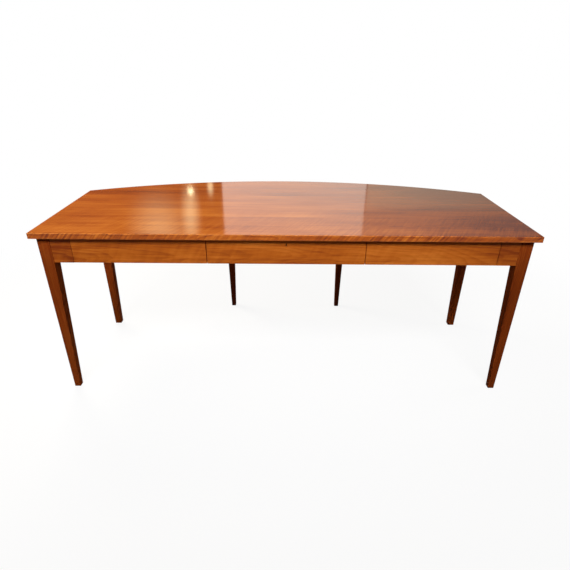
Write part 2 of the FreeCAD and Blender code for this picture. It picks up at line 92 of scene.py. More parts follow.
class Socket:
    """A shader value. Python's operators on it add Math nodes."""

    def __init__(self, tree: "Tree", link: bpy.types.NodeSocket) -> None:
        """Hold the tree and the output that gives the value."""
        self.tree = tree
        self.link = link

    def __add__(self, other: "Value") -> "Socket":
        """Return self + other."""
        return self.tree.math("ADD", self, other)

    def __radd__(self, other: "Value") -> "Socket":
        """Return other + self."""
        return self.tree.math("ADD", other, self)

    def __sub__(self, other: "Value") -> "Socket":
        """Return self - other."""
        return self.tree.math("SUBTRACT", self, other)

    def __rsub__(self, other: "Value") -> "Socket":
        """Return other - self."""
        return self.tree.math("SUBTRACT", other, self)

    def __mul__(self, other: "Value") -> "Socket":
        """Return self * other."""
        return self.tree.math("MULTIPLY", self, other)

    def __rmul__(self, other: "Value") -> "Socket":
        """Return other * self."""
        return self.tree.math("MULTIPLY", other, self)

    def __truediv__(self, other: "Value") -> "Socket":
        """Return self / other."""
        return self.tree.math("DIVIDE", self, other)

    def span(self, low: float, high: float) -> "Socket":
        """Return a smooth step from 0 at low to 1 at high."""
        settings = {"interpolation_type": "SMOOTHSTEP"}
        inputs = {"Value": self, "From Min": low, "From Max": high}
        return self.tree.value("ShaderNodeMapRange", settings, inputs)


Value = Union[Socket, float]


class Tree:
    """A node tree, grown from Python expressions."""

    def __init__(self, tree: bpy.types.NodeTree) -> None:
        """Empty the tree and hold it."""
        self.tree = tree
        self.tree.nodes.clear()

    def node(self, kind: str, settings: dict[str, Any], inputs: dict[Any, Any]) -> bpy.types.Node:
        """Add one node.

        Args:
            kind: the node's type.
            settings: its own settings, set first; "stops" fills a colour ramp.
            inputs: values or sockets, by the name or place of the input.

        Returns:
            The node.
        """
        made = self.tree.nodes.new(kind)
        for name, value in settings.items():
            if name == "stops":
                self.fill_ramp(made.color_ramp, value)
            else:
                setattr(made, name, value)
        for name, value in inputs.items():
            if isinstance(value, Socket):
                self.tree.links.new(value.link, made.inputs[name])
            else:
                made.inputs[name].default_value = value
        return made

    @staticmethod
    def fill_ramp(ramp: bpy.types.ColorRamp, stops: list[tuple[float, Colour]]) -> None:
        """Give a colour ramp its stops, from low to high."""
        while len(ramp.elements) < len(stops):
            ramp.elements.new(1.0)
        for element, (place, colour) in zip(ramp.elements, stops):
            element.position = place
            element.color = solid(colour)

    def value(self, kind: str, settings: dict[str, Any], inputs: dict[Any, Any], out: Any = 0) -> Socket:
        """Add one node and return one of its outputs, the first unless out says another."""
        return Socket(self, self.node(kind, settings, inputs).outputs[out])

    def math(self, operation: str, *values: Value) -> Socket:
        """Return a Math node's result on the values."""
        return self.value("ShaderNodeMath", {"operation": operation}, dict(enumerate(values)))

    def stretch(self, point: Socket, scale: Triple, shift: Triple) -> Socket:
        """Return the point times scale, plus shift."""
        inputs = {0: point, 1: scale, 2: shift}
        return self.value("ShaderNodeVectorMath", {"operation": "MULTIPLY_ADD"}, inputs)

    def noise(self, point: Socket, detail: float = 2.0, rough: float = 0.5) -> Socket:
        """Return noise from 0 to 1, with cells about one unit wide."""
        inputs = {"Vector": point, "Scale": 1.0, "Detail": detail, "Roughness": rough}
        return self.value("ShaderNodeTexNoise", {}, inputs)

    def chance(self, number: Socket) -> Socket:
        """Return a fixed random value from 0 to 1 for each number."""
        return self.value("ShaderNodeTexWhiteNoise", {"noise_dimensions": "1D"}, {"W": number})

    def ramp(self, value: Socket, stops: list[tuple[float, Colour]]) -> Socket:
        """Return the colour that a ramp gives the value."""
        return self.value("ShaderNodeValToRGB", {"stops": stops}, {0: value})

    def tint(self, share: Socket, base: Socket, colour: Colour) -> Socket:
        """Return the base colour, turned towards another by the share."""
        factor, first, second, result = 0, 6, 7, 2  # the places of a Mix node's colour sockets
        inputs = {factor: share, first: base, second: solid(colour)}
        return self.value("ShaderNodeMix", {"data_type": "RGBA"}, inputs, result)

    def split(self, point: Socket) -> list[Socket]:
        """Return the three parts of a point."""
        made = self.node("ShaderNodeSeparateXYZ", {}, {0: point})
        return [Socket(self, output) for output in made.outputs]

    def place(self) -> Socket:
        """Return the point of the surface, in the object's own metres."""
        return self.value("ShaderNodeTexCoord", {}, {}, "Object")

    def facing(self, axis: "Axis") -> Socket:
        """Return how squarely the surface looks along a direction, from 0 to 1."""
        normal = self.value("ShaderNodeTexCoord", {}, {}, "Normal")
        return self.math("ABSOLUTE", self.split(normal)[axis.value])

    def bump(self, height: Socket, strength: float, depth: float) -> Socket:
        """Return a normal that follows the height."""
        inputs = {"Strength": strength, "Distance": depth, "Height": height}
        return self.value("ShaderNodeBump", {}, inputs)

    def surface(self, shader: Socket) -> None:
        """Make the shader the material's surface."""
        self.node("ShaderNodeOutputMaterial", {}, {"Surface": shader})


def new_tree(name: str) -> tuple[bpy.types.Material, Tree]:
    """Return a new material and its empty tree."""
    material = bpy.data.materials.new(name)
    material.use_nodes = True
    return material, Tree(material.node_tree)


@dataclass(frozen=True)
class Board:
    """How a piece is sawn from the log.

    Attributes:
        grain: the direction that its fibres run in.
        face: the direction that its show face looks in.
        centre: the middle of the piece.
        size: the piece's length along each direction.
        seed: what sets its place in the log.
    """

    grain: Axis
    face: Axis
    centre: Triple
    size: Triple
    seed: str

    @classmethod
    def of(cls, node: str, grain: Axis | None = None, face: Axis | None = None) -> "Board":
        """Return the sawing of a node: grain along its longest side, face across its thinnest.

        Args:
            node: the CAD node's name.
            grain: another grain direction.
            face: another face direction.

        Returns:
            The board.
        """
        low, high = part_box(node)
        size = high - low
        centre = (low + high) / 2
        by_size = sorted(Axis, key=lambda axis: size[axis.value])
        grain = grain or by_size[-1]
        face = face or next(axis for axis in by_size if axis is not grain)
        return cls(grain, face, tuple(centre), tuple(size), node)

    @property
    def width(self) -> Axis:
        """The direction across the face."""
        return next(axis for axis in Axis if axis not in (self.grain, self.face))

    def scale(self, along: float, across: float) -> Triple:
        """Return a stretch with one value along the fibres and another across them."""
        return tuple(along if axis is self.grain else across for axis in Axis)


@dataclass(frozen=True)
class Grain:
    """A layer of noise that follows the fibres.

    Attributes:
        along, across: its cells per metre along the fibres and across them.
        detail, rough: how many finer layers it has, and how strong they are.
    """

    along: float
    across: float
    detail: float = 2.0
    rough: float = 0.5

    def read(self, tree: Tree, board: Board, point: Socket, shift: Triple) -> Socket:
        """Return the layer's value at a point, from 0 to 1.

        Args:
            tree: where the nodes go.
            board: how the piece is sawn.
            point: the point of the surface.
            shift: the shift of the noise.

        Returns:
            The value.
        """
        stretched = tree.stretch(point, board.scale(self.along, self.across), shift)
        return tree.noise(stretched, self.detail, self.rough)


WANDER = Grain(2.6, 9.0)  # bends the growth rings
PATCH = Grain(3.0, 7.0, 1.0)  # where curly figure comes and goes
STREAK = Grain(3.5, 95.0, 4.0, 0.65)
BROAD = Grain(2.2, 9.0)
FIBRE = Grain(16.0, 650.0, 2.0, 0.6)
PORE = Grain(70.0, 1500.0, 1.0)
LATE_RISE = (0.35, 0.9)  # where in a year the late wood darkens
LATE_FALL = (0.93, 1.0)  # where in a year it ends
STRIPE_RISE = (0.25, 0.75)
PATCH_RISE = (0.3, 0.6)
PORE_RISE = (0.62, 0.78)
END_RISE = (0.6, 0.9)  # how squarely a face must cross the fibres to be end grain
DARKEST = 0.15
PALEST = 0.85


@dataclass(frozen=True)
class Wood:
    """A wood and its finish.

    Attributes:
        name: the finish's name.
        dark, middle, pale: its colours, from late wood to early wood.
        ring: the width of a year's growth.
        ring_show, streak_show, broad_show, fibre_show: how strongly each figure shows.
        end_show: how much darker end grain is.
        curl_show, curl: strength and pitch of the curly stripes across the grain.
        roughness, coat, coat_roughness, gloss: the finish.
        relief, relief_depth: how well pores and fibres can be felt, and how deep they are.
        pith_across: how far beside the board's middle the pith can lie, as a share of the board's width.
        pith_depth, pith_lean: how deep the pith lies, and how much it leans.
        noise_reach: how far a board's noise can be shifted.
        side_wander, down_wander: how far the rings wander across the face and into it.
        faintest_ring, mean_ring: how strong the weakest year is, and the mean of the rings.
        curl_slant: how the curly stripes lean across the face and into it.
        curl_length, curl_pitch: how soon the stripes end, and how close they are.
        curl_faint, curl_strong: how strong they are at least, and how much more in the best patches.
        pore_tint: how dark the pores are.
        fibre_rough, streak_rough, end_rough: how much rougher each is.
        fibre_height, ring_height, pore_height: how high each stands.
    """

    name: str
    dark: Colour
    middle: Colour
    pale: Colour
    ring: float = 0.0045
    ring_show: float = 0.25
    streak_show: float = 0.7
    broad_show: float = 0.5
    fibre_show: float = 0.22
    end_show: float = 0.4
    curl_show: float = 0.0
    curl: float = 0.03
    roughness: float = 0.42
    coat: float = 0.2
    coat_roughness: float = 0.2
    gloss: float = 0.25
    relief: float = 0.12
    relief_depth: float = 0.0004
    pith_across: float = 0.35
    pith_depth: tuple[float, float] = (0.05, 0.11)
    pith_lean: tuple[float, float] = (0.025, 0.05)
    noise_reach: float = 40.0
    side_wander: float = 0.05
    down_wander: float = 0.035
    faintest_ring: float = 0.35
    mean_ring: float = 0.2
    curl_slant: tuple[float, float] = (0.5, 0.8)
    curl_length: float = 7.0
    curl_pitch: float = 2.2
    curl_faint: float = 0.7
    curl_strong: float = 1.3
    pore_tint: float = 0.45
    fibre_rough: float = 0.25
    streak_rough: float = 0.2
    end_rough: float = 0.4
    fibre_height: float = 0.5
    ring_height: float = 0.3
    pore_height: float = -0.8

    def log_place(self, board: Board) -> tuple[float, float, float, Triple]:
        """Return where the pith lies beside the board, how it leans, and a shift for the noise."""
        draw = random.Random(board.seed)
        width = board.width.value
        sides = (-1, 1)
        across = board.centre[width] + draw.uniform(-self.pith_across, self.pith_across) * board.size[width]
        depth = board.centre[board.face.value] + draw.choice(sides) * draw.uniform(*self.pith_depth)
        lean = draw.choice(sides) * draw.uniform(*self.pith_lean)
        shift = tuple(draw.uniform(0, self.noise_reach) for _ in Axis)
        return across, depth, lean, shift

    def rings(self, tree: Tree, board: Board, point: Socket, shift: Triple) -> Socket:
        """Return the late wood of the growth rings, from 0 to 1.

        Args:
            tree: where the nodes go.
            board: how the piece is sawn.
            point: the point of the surface.
            shift: the shift of the noise.

        Returns:
            The late wood.
        """
        across, depth, lean, _ = self.log_place(board)
        parts = tree.split(point)
        along = parts[board.grain.value]
        wander = WANDER.read(tree, board, point, shift) - MEAN
        side = parts[board.width.value] - across + self.side_wander * wander
        down = parts[board.face.value] - depth - lean * along + self.down_wander * wander
        years = tree.math("SQRT", side * side + down * down) / self.ring
        age = tree.math("FRACT", years)
        strength = tree.chance(tree.math("FLOOR", years))
        late = age.span(*LATE_RISE) * (1.0 - age.span(*LATE_FALL))
        return late * (self.faintest_ring + (1.0 - self.faintest_ring) * strength)

    def curls(self, tree: Tree, board: Board, point: Socket, shift: Triple) -> Socket:
        """Return the light and dark stripes of curly figure, from -1 to 1.

        Args:
            tree: where the nodes go.
            board: how the piece is sawn.
            point: the point of the surface.
            shift: the shift of the noise.

        Returns:
            The stripes.
        """
        parts = tree.split(point)
        sides = [parts[axis.value] for axis in (board.width, board.face)]
        slant = self.curl_slant[0] * sides[0] + self.curl_slant[1] * sides[1]
        along = (parts[board.grain.value] - slant) / self.curl
        across = [self.curl_length * side for side in sides]
        rows = tree.value("ShaderNodeCombineXYZ", {}, {0: along, 1: across[0], 2: across[1]})
        stripes = tree.noise(tree.stretch(rows, (self.curl_pitch, 1.0, 1.0), shift), 1.5)
        patch = PATCH.read(tree, board, point, shift).span(*PATCH_RISE)
        return (stripes.span(*STRIPE_RISE) - MEAN) * (self.curl_faint + self.curl_strong * patch)

    def point(self, tree: Tree, board: Board) -> tuple[Socket, Value]:
        """Return the point that the figure is read at, and the tone that the board adds."""
        return tree.place(), 0.0

    def curl_mask(self, tree: Tree) -> Value:
        """Return where the curly figure shows."""
        return 1.0

    def painted_arris_highlight(self, tree: Tree) -> Value:
        """Return the painted highlight along the arrises; plain wood has none."""
        return 0.0

    def dull(self, tree: Tree) -> Value:
        """Return how much rougher the finish is in places."""
        return 0.0

    def dress(self, board: Board) -> bpy.types.Material:
        """Return the material of one piece of this wood.

        Args:
            board: how the piece is sawn.

        Returns:
            The material.
        """
        material, tree = new_tree(f"{self.name}.{board.seed}")
        point, tone = self.point(tree, board)
        shift = self.log_place(board)[3]
        late = self.rings(tree, board, point, shift)
        streak = STREAK.read(tree, board, point, shift) - MEAN
        broad = BROAD.read(tree, board, point, shift) - MEAN
        fibre = FIBRE.read(tree, board, point, shift)
        pores = PORE.read(tree, board, point, shift).span(*PORE_RISE)
        tone = tone + MEAN - self.ring_show * (late - self.mean_ring) + self.streak_show * streak
        # the last term is a painted highlight along the arrises of the top
        tone = tone + self.broad_show * broad + self.fibre_show * (fibre - MEAN) + self.painted_arris_highlight(tree)
        end = tree.facing(board.grain).span(*END_RISE)
        tone = tone - self.end_show * end
        if self.curl_show:
            tone = tone + self.curl_show * self.curl_mask(tree) * self.curls(tree, board, point, shift)
        stops = [(DARKEST, self.dark), (MEAN, self.middle), (PALEST, self.pale)]
        colour = tree.tint(self.pore_tint * pores, tree.ramp(tone, stops), self.dark)
        uneven = 1.0 + self.fibre_rough * (fibre - MEAN) + self.streak_rough * streak
        rough = self.roughness * uneven + self.dull(tree) + self.end_rough * end
        height = self.fibre_height * fibre + self.ring_height * late + self.pore_height * pores
        inputs = {
            "Base Color": colour,
            "Roughness": rough,
            "Normal": tree.bump(height, self.relief, self.relief_depth),
            "Specular IOR Level": self.gloss,
            "Coat Weight": self.coat * (1.0 - end),
            "Coat Roughness": self.coat_roughness,
        }
        tree.surface(tree.value("ShaderNodeBsdfPrincipled", {}, inputs))
        return material


@dataclass(frozen=True)
class BoardedWood(Wood):
    """Wood glued up from boards side by side.

    Attributes:
        board_width: the width of one board.
        first_edge: where the first board starts.
        board_tone: how far the boards differ in tone.
        half_width, bow_radius, bow_centre: the panel's outline.
        upper_arris, arris_reach, arris_highlight_tone: level of the upper arris, reach of the arris band, and
        strength of the painted highlight along the arrises.
        right_shade_start, right_shade_tone: where painted shade starts to darken the upper face towards the
            right end, and how far; it stands in for the weaker light there.
        near_reach, near_tone: how far back the near boards are paler, and how much.
        edge_tone, edge_dull: how much darker and rougher the sawn edges are.
        log_step: how far apart along and across the log two boards are cut.
        tone_draw: what sets the boards' tones apart from their places.
        edge_curl, edge_reach: strength and reach of the curly figure in the near edge.
        near_curl, near_boards: its strength in the near boards, and the number of them.
    """

    board_width: float = 0.118
    first_edge: float = -0.4572
    board_tone: float = 0.16
    log_step: tuple[float, float] = (1.73, 0.61)
    tone_draw: float = 3.5
    edge_curl: float = 0.6
    edge_reach: float = 0.012
    near_curl: float = 0.34
    near_boards: int = 4
    half_width: float = 1.016
    bow_radius: float = 2.25044
    bow_centre: float = -1.79324
    upper_arris: float = 0.762
    arris_reach: float = 0.004
    arris_highlight_tone: float = 0.3
    right_shade_start: float = 0.0
    right_shade_tone: float = 0.32
    near_tone: float = 0.14
    near_reach: float = -0.1
    edge_tone: float = 0.01
    edge_dull: float = 0.45

    def number(self, tree: Tree) -> Socket:
        """Return which board a point lies in."""
        across = tree.split(tree.place())[Axis.Y.value]
        return tree.math("FLOOR", (across - self.first_edge) / self.board_width)

    def point(self, tree: Tree, board: Board) -> tuple[Socket, Value]:
        """Return the point moved along the log for each board, and the tone: the board's own, paler near
        boards, darker edges, and painted shade towards the right end of the upper face.
        """
        number = self.number(tree)
        steps = {0: self.log_step[0] * number, 1: self.log_step[1] * number, 2: 0.0}
        lift = tree.value("ShaderNodeCombineXYZ", {}, steps)
        moved = tree.value("ShaderNodeVectorMath", {"operation": "ADD"}, {0: tree.place(), 1: lift})
        along, across, _ = tree.split(tree.place())
        above = self.above(tree)
        # painted shade: the upper face darkens towards the right end, standing in for the weaker light there
        right_shade = self.right_shade_tone * along.span(self.right_shade_start, self.half_width)
        pale = self.near_tone * (1.0 - across.span(self.first_edge, self.near_reach))
        edge = self.edge_tone * (1.0 - above)
        own = self.board_tone * (tree.chance(number + self.tone_draw) - MEAN)
        return moved, own + (pale - right_shade) * above - edge

    def above(self, tree: Tree) -> Socket:
        """Return 1 on the upper face, and 0 on the edges and below."""
        level = tree.split(tree.place())[Axis.Z.value]
        return level.span(self.upper_arris - self.arris_reach, self.upper_arris)

    def dull(self, tree: Tree) -> Value:
        """Return how much rougher the edges are than the rubbed-out face."""
        return self.edge_dull * (1.0 - self.above(tree))

    def curl_mask(self, tree: Tree) -> Value:
        """Return how far the curly figure shows: most in the near edge, and fading over the near boards."""
        across = tree.split(tree.place())[Axis.Y.value]
        edge = 1.0 - across.span(self.first_edge, self.first_edge + self.edge_reach)
        near = 1.0 - across.span(self.first_edge, self.first_edge + self.near_boards * self.board_width)
        return self.edge_curl * edge + self.near_curl * near

    def painted_arris_highlight(self, tree: Tree) -> Value:
        """Return the painted highlight along the arrises of the upper face, found from the panel's outline.
        """
        x, y, _ = tree.split(tree.place())
        reach = y - self.bow_centre
        bow = self.bow_radius - tree.math("SQRT", x * x + reach * reach)
        ends = self.half_width - tree.math("ABSOLUTE", x)
        inside = tree.math("MINIMUM", tree.math("MINIMUM", bow, ends), y - self.first_edge)
        # painted highlight: paler along the arrises of the upper face
        return self.arris_highlight_tone * (1.0 - inside.span(0.0, self.arris_reach)) * self.above(tree)


@dataclass(frozen=True)
class FrontWood(Wood):
    """Wood of one long board that runs across all the fronts, with painted shade that darkens it towards its
    ends, where less light falls.

    Attributes:
        end_start, end_reach: how far from the palest place the painted shade starts, and where it is darkest.
        end_shade_tone: how much darker the painted shade makes the ends.
        palest: where the board is palest.
        shade: how much darker all of it is.
    """

    end_start: float = 0.5
    end_reach: float = 0.95
    end_shade_tone: float = 0.05
    palest: float = -0.1
    shade: float = 0.0

    def point(self, tree: Tree, board: Board) -> tuple[Socket, Value]:
        """Return the point, and the tone: the whole board's darkening, and painted shade towards the ends."""
        along = tree.math("ABSOLUTE", tree.split(tree.place())[Axis.X.value] - self.palest)
        # painted shade: darker towards the ends of the fronts, for the light falling off there
        return tree.place(), -self.shade - self.end_shade_tone * along.span(self.end_start, self.end_reach)


@dataclass(frozen=True)
class Metal:
    """A plain metal with fine scratches and dull patches.

    Attributes:
        name: the finish's name.
        bright, dull: its colours where rubbed and where tarnished.
        roughness: its mean roughness.
        cloud_rough, scratch_rough, inside_rough: how much dull patches, scratches and oil change it.
        cloud_scale, scratch_scale: the cells per metre of patches and scratches.
        cloud_rough, scratch_rough, inside_rough: how much dull patches, scratches and the painted-dark inside
            of the lock case change it.
    """

    name: str
    bright: Colour
    dull: Colour
    roughness: float
    cloud_rough: float = 0.22
    scratch_rough: float = 0.12
    inside_rough: float = 0.3
    cloud_scale: Triple = (160.0, 160.0, 160.0)
    scratch_scale: Triple = (250.0, 2500.0, 2500.0)
    scratch_show: float = 0.15
    scratch_depth: float = 0.0001

    def inside_shade(self, tree: Tree) -> Value:
        """Return where the metal is painted dark as shade, from 0 to 1; nowhere in a plain metal."""
        return 0.0

    def dress(self) -> bpy.types.Material:
        """Return the metal's material."""
        material, tree = new_tree(self.name)
        point = tree.place()
        cloud = tree.noise(tree.stretch(point, self.cloud_scale, (3.0, 5.0, 7.0)), 4.0, 0.6)
        scratch = tree.noise(tree.stretch(point, self.scratch_scale, (1.0, 2.0, 3.0)), 2.0)
        inside_shade = self.inside_shade(tree)
        clean = tree.ramp(cloud, [(0.3, self.dull), (0.65, self.bright)])
        uneven = self.cloud_rough * (cloud - MEAN) + self.scratch_rough * (scratch - MEAN)
        inputs = {
            # painted shade: the inside of the lock case is tinted near black
            "Base Color": tree.tint(inside_shade, clean, CASE_SHADE),
            "Metallic": 1.0,
            "Roughness": self.roughness + uneven + self.inside_rough * inside_shade,
            "Normal": tree.bump(scratch, self.scratch_show, self.scratch_depth),
        }
        tree.surface(tree.value("ShaderNodeBsdfPrincipled", {}, inputs))
        return material


@dataclass(frozen=True)
class LockMetal(Metal):
    """Metal of a lock, bright outside and painted dark inside its case, as shade for the keyhole.

    Attributes:
        case_back, case_high: how far back and up the painted shade reaches.
        shade_edge: how far its edge fades.
    """

    case_back: float = -0.4137
    case_high: float = 0.734
    shade_edge: float = 0.0004

    def inside_shade(self, tree: Tree) -> Value:
        """Return 1 inside the case, where the metal is painted dark as shade, and 0 on what shows outside it.
        """
        _, depth, level = tree.split(tree.place())
        inside = 1.0 - depth.span(self.case_back, self.case_back + self.shade_edge)
        return inside * (1.0 - level.span(self.case_high, self.case_high + self.shade_edge))


CHERRY_TOP = BoardedWood(
    name="cherry_top", dark=paint(108, 40, 9), middle=paint(164, 80, 20), pale=paint(200, 116, 40),
    curl_show=0.28, curl=0.022, streak_show=0.45, broad_show=0.6,
    roughness=0.08, coat=0.0, gloss=0.36, relief=0.02,
)
CHERRY_FRONT = FrontWood(
    name="cherry_front", dark=paint(120, 50, 14), middle=paint(168, 86, 24), pale=paint(196, 112, 40),
    curl_show=0.06, curl=0.06, streak_show=0.85, broad_show=0.8, ring_show=0.16, gloss=0.06, coat=0.03,
)
LEFT_BLOCK = replace(CHERRY_FRONT, name="cherry_block_left", shade=0.22)
RIGHT_BLOCK = replace(CHERRY_FRONT, name="cherry_block_right", shade=0.07)
CHERRY_APRON = Wood(
    name="cherry_apron", dark=paint(96, 38, 11), middle=paint(140, 64, 19), pale=paint(172, 90, 32),
    curl_show=0.1, curl=0.06, streak_show=0.45, ring_show=0.1, gloss=0.08, coat=0.04,
)
CHERRY_LEG = Wood(
    name="cherry_leg", dark=paint(78, 28, 8), middle=paint(118, 49, 14), pale=paint(150, 74, 26),
    streak_show=0.6, gloss=0.004, coat=0.0, roughness=0.58,
)
FRAME_WOOD = Wood(
    name="frame_wood", dark=paint(138, 96, 56), middle=paint(176, 134, 88), pale=paint(200, 162, 114),
    roughness=0.6, coat=0.0, relief=0.3,
)
RUNNER_WOOD = Wood(
    name="runner_wood", dark=paint(176, 140, 96), middle=paint(206, 174, 128), pale=paint(222, 196, 154),
    roughness=0.5, coat=0.05, relief=0.2,
)
DRAWER_WOOD = Wood(
    name="drawer_wood", dark=paint(178, 138, 92), middle=paint(208, 172, 122), pale=paint(226, 196, 150),
    roughness=0.5, coat=0.05, relief=0.2,
)
BOTTOM_WOOD = Wood(
    name="drawer_bottom_wood", dark=paint(168, 124, 80), middle=paint(200, 158, 108),
    pale=paint(218, 182, 134), roughness=0.55, coat=0.0, relief=0.25,
)
# painted shade: the near-black colour of the metal inside the lock case, so that the keyhole reads dark
CASE_SHADE = paint(26, 19, 11)
LOCK_BRASS = LockMetal("lock_brass", paint(206, 168, 96), paint(128, 96, 48), 0.36)
BOLT_BRASS = replace(LOCK_BRASS, name="bolt_brass", case_high=0.7255)
LOCK_STEEL = LockMetal("lock_steel", paint(188, 186, 180), paint(120, 118, 114), 0.34)
SCREW_STEEL = Metal("screw_steel", paint(196, 192, 184), paint(124, 120, 114), 0.32)
FRONT_BOARD = Board(Axis.X, Axis.Y, (0.0, -0.4337, 0.684), (1.89, 0.02, 0.108), "front_board")


def dress_node(node: str, material: bpy.types.Material) -> None:
    """Give a carried-over CAD node its material.

    Args:
        node: the node's name.
        material: what it is made of.
    """
    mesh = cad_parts[node].data
    mesh.materials.clear()
    mesh.materials.append(material)
    log.info("dressed %s with %s", node, material.name)


@dataclass
class TopPanel:
    """The glued-up top."""

    node: str = "desk_top"
    finish: BoardedWood = CHERRY_TOP

    def build(self) -> None:
        """Dress the panel."""
        dress_node(self.node, self.finish.dress(Board.of(self.node)))


@dataclass
class TaperedLeg:
    """One leg, with rounded arrises.

    Attributes:
        node: the CAD node that it stands for.
        anchor_x, anchor_y: where its upright faces lie in the section, from 0 at the low side to 1.
        foot: the width at the floor.
        taper_start: the level where the taper starts.
        arris: the rounding of the long arrises.
        foot_rounding: the rounding under the foot.
        steps, foot_steps: how many faces round each arris, and the foot.
        flat_weight: how far the flat faces set the shading of the rounded ones.
    """

    node: str
    anchor_x: float
    anchor_y: float
    foot: float
    taper_start: float = 0.630
    arris: float = 0.0015
    foot_rounding: float = 0.002
    steps: int = 4
    foot_steps: int = 3
    flat_weight: int = 90
    finish: Wood = CHERRY_LEG

    def section(self, level: float, share: float, inset: float) -> list[Vector]:
        """Return the leg's rounded square at a level.

        Args:
            level: the height.
            share: how far down the taper the level is, from 0 to 1.
            inset: how far the section is drawn in.

        Returns:
            The points, counter-clockwise from above.
        """
        low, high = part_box(self.node)
        full = high.x - low.x
        size = full + (self.foot - full) * share
        x0 = low.x + (full - size) * self.anchor_x + inset
        y0 = low.y + (full - size) * self.anchor_y + inset
        side = size - 2 * inset
        points = []
        for turn, (cx, cy) in enumerate(((1, 0), (1, 1), (0, 1), (0, 0))):
            centre_x = x0 + (side - self.arris if cx else self.arris)
            centre_y = y0 + (side - self.arris if cy else self.arris)
            for step in range(self.steps + 1):
                angle = QUARTER * (turn - 1 + step / self.steps)
                x = centre_x + self.arris * math.cos(angle)
                y = centre_y + self.arris * math.sin(angle)
                points.append(Vector((x, y, level)))
        return points

    def stations(self) -> list[tuple[float, float, float]]:
        """Return level, taper share and inset of each section, from the floor up."""
        low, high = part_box(self.node)
        rounding = self.foot_rounding
        rows = []
        for step in range(self.foot_steps + 1):
            angle = QUARTER * step / self.foot_steps
            level = rounding * (1 - math.cos(angle))
            inset = rounding * (1 - math.sin(angle))
            rows.append((low.z + level, 1 - level / self.taper_start, inset))
        rows.append((self.taper_start, 0.0, 0.0))
        rows.append((high.z, 0.0, 0.0))
        return rows

    def build(self, body: str) -> bpy.types.Object:
        """Build the leg, dress it and let it ride.

        Args:
            body: the body that it belongs to.

        Returns:
            The leg.
        """
        shape = bmesh.new()
        rings = [[shape.verts.new(point) for point in self.section(*row)] for row in self.stations()]
        for below, above in zip(rings, rings[1:]):
            for first in range(len(below)):
                second = (first + 1) % len(below)
                shape.faces.new((below[first], below[second], above[second], above[first]))
        shape.faces.new(reversed(rings[0]))
        shape.faces.new(rings[-1])
        for face in shape.faces:
            face.smooth = len(face.verts) == 4
        mesh = bpy.data.meshes.new(f"{self.node}_turned")
        shape.to_mesh(mesh)
        shape.free()
        leg = bpy.data.objects.new(f"{self.node}_rounded", mesh)
        bpy.context.scene.collection.objects.link(leg)
        normals = leg.modifiers.new("even_faces", "WEIGHTED_NORMAL")
        normals.weight = self.flat_weight
        mesh.materials.append(self.finish.dress(Board.of(self.node)))
        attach(leg, body)
        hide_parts(self.node)
        log.info("built %s", leg.name)
        return leg


@dataclass
class LegSet:
    """The six legs."""

    body: str = "desk"
    legs: list[TaperedLeg] = field(default_factory=lambda: [
        TaperedLeg("front_leg_left", 0.0, 0.0, 0.027),
        TaperedLeg("front_leg_right", 1.0, 0.0, 0.027),
        TaperedLeg("bow_corner_leg_left", 0.0, 1.0, 0.033),
        TaperedLeg("bow_corner_leg_right", 1.0, 1.0, 0.033),
        TaperedLeg("bow_mid_leg_left", 0.5, 1.0, 0.024),
        TaperedLeg("bow_mid_leg_right", 0.5, 1.0, 0.024),
    ])

    def build(self) -> None:
        """Build every leg."""
        for leg in self.legs:
            leg.build(self.body)


@dataclass
class Frame:
    """Aprons, end blocks, rail, partitions and what holds them."""

    aprons: tuple[str, ...] = (
        "side_apron_left", "side_apron_right", "bow_apron_left", "bow_apron_centre", "bow_apron_right",
    )
    end_blocks: dict[str, FrontWood] = field(default_factory=lambda: {
        "front_end_block_left": LEFT_BLOCK,
        "front_end_block_right": RIGHT_BLOCK,
    })
    inside: tuple[str, ...] = (
        "front_top_rail", "inner_partition_left", "inner_partition_right",
        "outer_partition_left", "outer_partition_right",
    )
    blocks: tuple[str, ...] = ("end_glue_blocks", "top_buttons")
    screws: tuple[str, ...] = ("top_button_screws", "rail_screws", "runner_screws")

    def build(self) -> None:
        """Dress every piece of the frame."""
        for node in self.aprons:
            grain = Axis.X if "side" not in node else Axis.Y
            face = Axis.Y if grain is Axis.X else Axis.X
            dress_node(node, CHERRY_APRON.dress(Board.of(node, grain, face)))
        for node, finish in self.end_blocks.items():
            dress_node(node, finish.dress(FRONT_BOARD))
        for node in self.inside:
            dress_node(node, FRAME_WOOD.dress(Board.of(node)))
        for node in self.blocks:
            dress_node(node, FRAME_WOOD.dress(Board.of(node, Axis.X, Axis.Z)))
        metal = SCREW_STEEL.dress()
        for node in self.screws:
            dress_node(node, metal)


@dataclass
class Drawer:
    """One drawer and its runners."""

    name: str

    def build(self) -> None:
        """Dress the drawer's boards, screws and runners."""
        front = f"{self.name}_drawer_front"
        dress_node(front, CHERRY_FRONT.dress(FRONT_BOARD))
        for part in ("left_side", "right_side", "back"):
            node = f"{self.name}_drawer_{part}"
            dress_node(node, DRAWER_WOOD.dress(Board.of(node)))
        bottom = f"{self.name}_drawer_bottom"
        dress_node(bottom, BOTTOM_WOOD.dress(Board.of(bottom, Axis.X, Axis.Z)))
        for side in ("left", "right"):
            node = f"{self.name}_drawer_{side}_runner"
            dress_node(node, RUNNER_WOOD.dress(Board.of(node)))
        dress_node(f"{self.name}_drawer_screws", SCREW_STEEL.dress())


